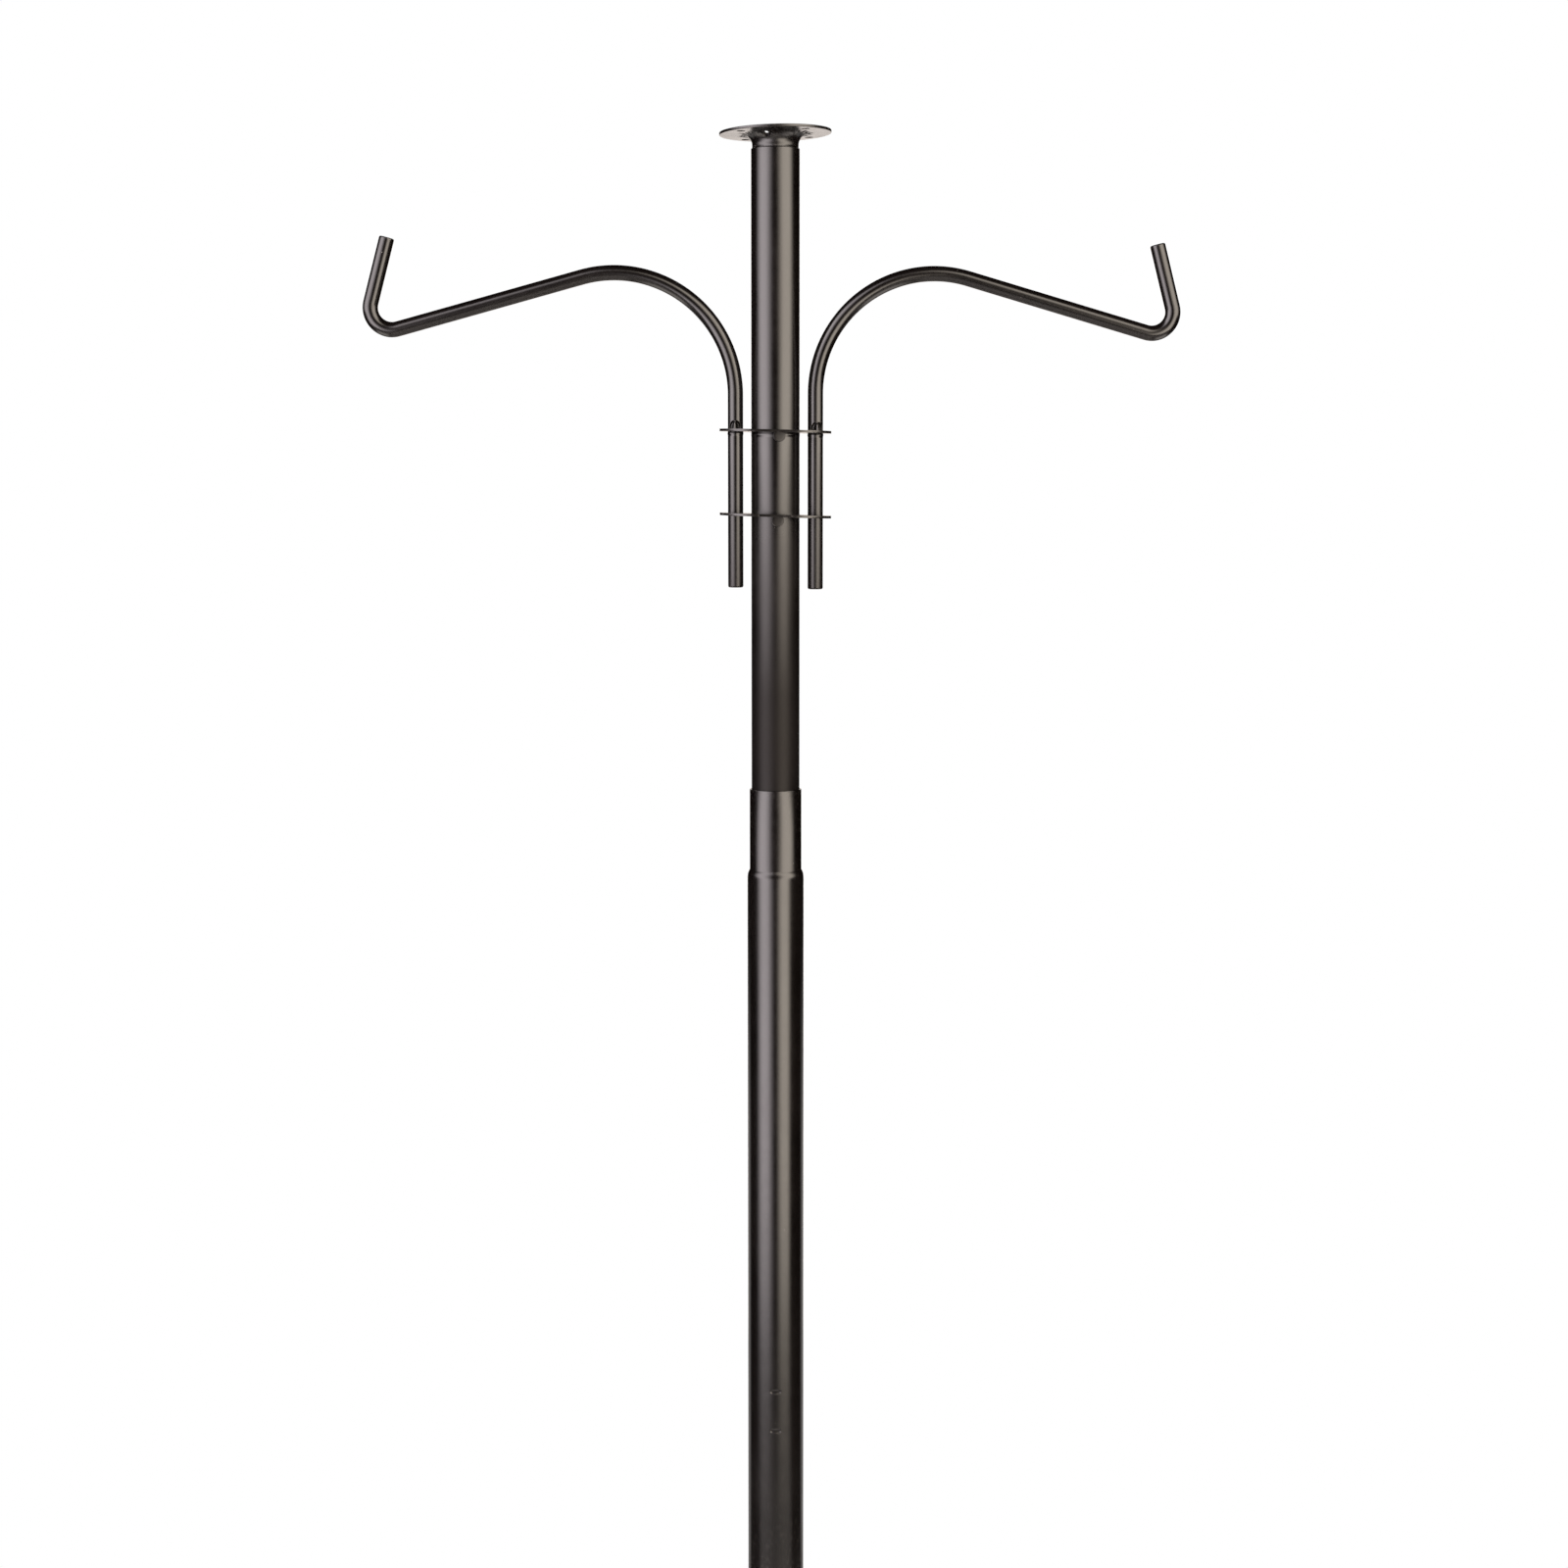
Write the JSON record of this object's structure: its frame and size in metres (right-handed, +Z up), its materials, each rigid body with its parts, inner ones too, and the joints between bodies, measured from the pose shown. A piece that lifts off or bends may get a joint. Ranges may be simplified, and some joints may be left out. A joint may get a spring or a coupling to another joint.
{
  "type": "bird feeder pole",
  "caption": "Sectional steel garden pole with a round mounting flange on top, hooked swivelling arms held by slot-shaped plates, necked tube joints and a corkscrew foot.",
  "frame": {"origin": "on the pole's axis at soil level", "axes": "+Z up along the pole, X along the hook arms, -Y towards the front, where the rivet heads and punched stops face"},
  "size_m": [0.428, 0.0584, 1.7045],
  "materials": {
    "tube_coat": "semi-gloss black powder coat",
    "arm_coat": "semi-gloss black powder coat",
    "plate_coat": "semi-gloss black powder coat",
    "rivet_coat": "satin black powder coat",
    "auger_coat": "satin black powder coat"
  },
  "bodies": {
    "ground_section": {"ground_tube": "tube_coat", "auger_plug": "auger_coat", "ground_auger": "auger_coat"},
    "middle_section": {"middle_tube": "tube_coat"},
    "top_section": {"upper_tube": "tube_coat", "upper_plate": "plate_coat", "lower_plate": "plate_coat", "upper_rivet": "rivet_coat", "lower_rivet": "rivet_coat"},
    "flange": {"top_flange": "plate_coat"},
    "left_arm": {"left_hook_arm": "arm_coat"},
    "right_arm": {"right_hook_arm": "arm_coat"}
  },
  "joints": [
    {"name": "pole_turn", "type": "hinge", "parent": "ground_section", "child": "middle_section", "pos_m": [0, 0, 0.36], "axis": [0, 0, 1], "continuous": true},
    {"name": "upper_lift", "type": "slide", "parent": "middle_section", "child": "top_section", "axis": [0, 0, 1], "range_m": [0, 0.335]},
    {"name": "flange_lift", "type": "slide", "parent": "top_section", "child": "flange", "axis": [0, 0, 1], "range_m": [0, 0.035]},
    {"name": "left_arm_swivel", "type": "hinge", "parent": "top_section", "child": "left_arm", "pos_m": [-0.021, 0, 1.2091], "axis": [0, 0, 1], "range_deg": [-90, 90]},
    {"name": "right_arm_swivel", "type": "hinge", "parent": "top_section", "child": "right_arm", "pos_m": [0.021, 0, 1.2091], "axis": [0, 0, 1], "range_deg": [-90, 90]}
  ]
}
